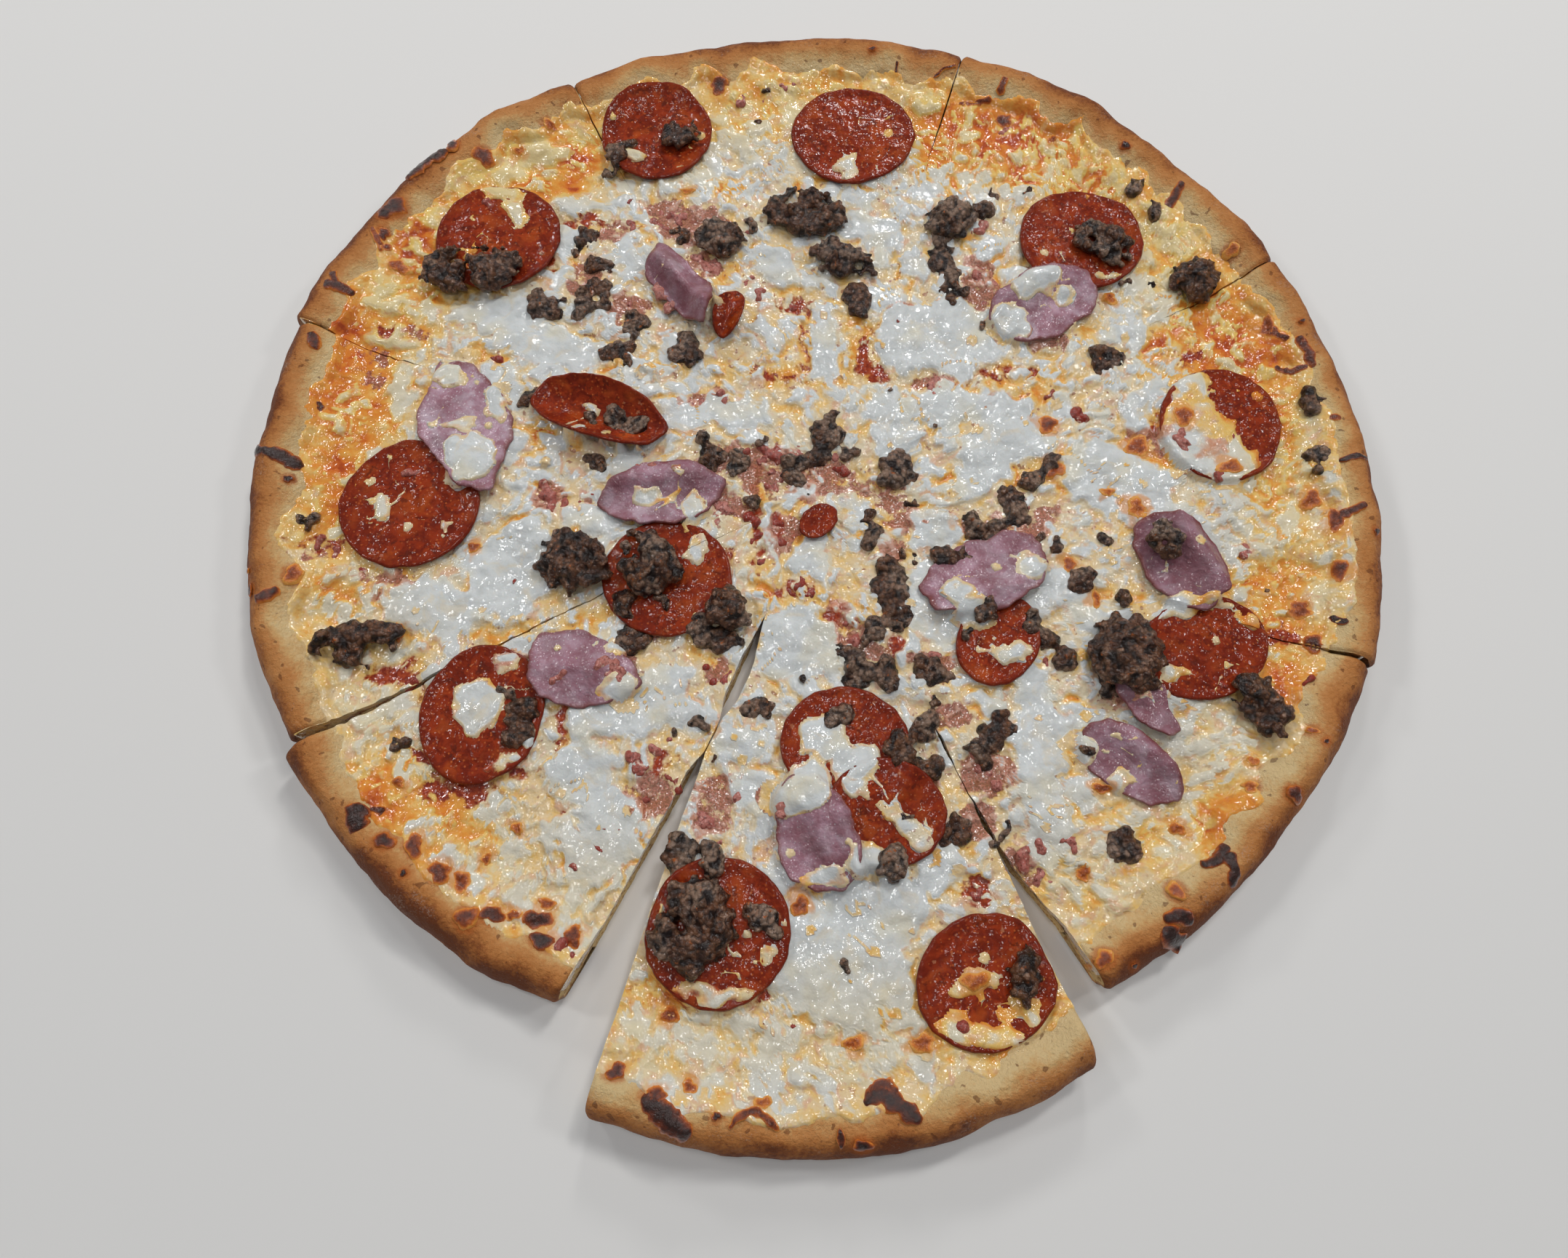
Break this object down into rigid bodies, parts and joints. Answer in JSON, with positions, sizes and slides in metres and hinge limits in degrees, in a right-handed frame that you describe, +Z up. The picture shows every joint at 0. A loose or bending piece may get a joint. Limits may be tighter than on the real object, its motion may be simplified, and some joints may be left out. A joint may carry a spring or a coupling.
{
  "type": "meat pizza",
  "caption": "Whole round pizza cut into slices, with melted cheese, pepperoni, folded ham and browned minced meat; the front slice is pulled out.",
  "frame": {"origin": "on the surface that the pizza rests on, under the middle of the outline of all eight slices", "axes": "+Z up; +Y towards the back of the pizza as the picture shows it, -Y towards the viewer and the slice that is pulled out; +X to the viewer's right"},
  "size_m": [0.3265, 0.3409, 0.0225],
  "materials": {
    "crust": "baked dough, matt, pale gold to brown with floury patches",
    "cheese": "melted cheese with tomato sauce and oil showing through, wet and shiny",
    "pepperoni": "orange-red cured sausage, oily",
    "ham": "pink cooked ham, moist, browned at the edges",
    "minced_meat": "rough browned minced meat with greasy glints"
  },
  "bodies": {
    "root": {"crust_n": "crust", "crust_ne": "crust", "crust_e": "crust", "crust_se": "crust", "crust_s": "crust", "crust_sw": "crust", "crust_w": "crust", "crust_nw": "crust", "cheese_n": "cheese", "cheese_ne": "cheese", "cheese_e": "cheese", "cheese_se": "cheese", "cheese_s": "cheese", "cheese_sw": "cheese", "cheese_w": "cheese", "cheese_nw": "cheese", "pepperoni_01": "pepperoni", "pepperoni_02": "pepperoni", "pepperoni_03": "pepperoni", "pepperoni_04": "pepperoni", "pepperoni_05": "pepperoni", "pepperoni_06": "pepperoni", "pepperoni_07": "pepperoni", "pepperoni_08": "pepperoni", "pepperoni_09": "pepperoni", "pepperoni_10": "pepperoni", "pepperoni_11": "pepperoni", "pepperoni_12": "pepperoni", "pepperoni_13": "pepperoni", "pepperoni_14": "pepperoni", "pepperoni_15": "pepperoni", "pepperoni_16": "pepperoni", "pepperoni_17": "pepperoni", "ham_01": "ham", "ham_02": "ham", "ham_03": "ham", "ham_04": "ham", "ham_05": "ham", "ham_06": "ham", "ham_07": "ham", "ham_08": "ham", "ham_09": "ham", "ham_10": "ham", "crumble_01": "minced_meat", "crumble_02": "minced_meat", "crumble_03": "minced_meat", "crumble_04": "minced_meat", "crumble_05": "minced_meat", "crumble_06": "minced_meat", "crumble_07": "minced_meat", "crumble_08": "minced_meat", "crumble_09": "minced_meat", "crumble_10": "minced_meat", "crumble_11": "minced_meat", "crumble_12": "minced_meat", "crumble_13": "minced_meat", "crumble_14": "minced_meat", "crumble_15": "minced_meat", "crumble_16": "minced_meat", "crumble_17": "minced_meat"}
  },
  "joints": []
}
